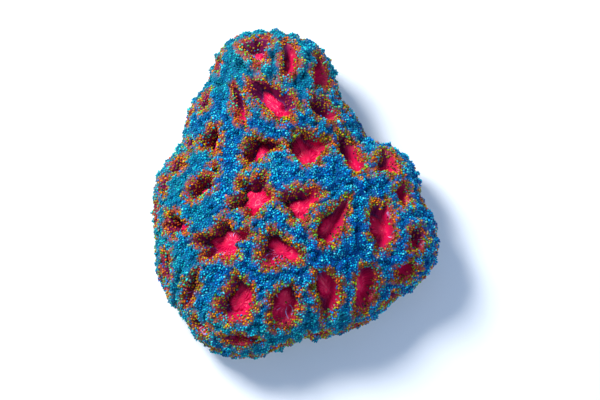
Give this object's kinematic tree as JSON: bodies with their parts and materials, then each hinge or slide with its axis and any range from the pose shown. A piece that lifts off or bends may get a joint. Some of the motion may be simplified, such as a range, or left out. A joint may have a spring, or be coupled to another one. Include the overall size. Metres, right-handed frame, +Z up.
{
  "type": "brain coral",
  "caption": "Mounded, fleshy stony coral colony with deep polyp pits, a knob at one end and a flat cut base to rest on",
  "frame": {"origin": "the middle of the colony's bounding box, on the plane of the flat base", "axes": "+Z up from the base; +Y along the colony towards the knob; +X to the right, seen from above with the knob at the top"},
  "size_m": [0.07, 0.0811, 0.0306],
  "materials": {
    "coral_flesh": "satin"
  },
  "bodies": {
    "root": {"coral_colony": "coral_flesh"}
  },
  "joints": []
}
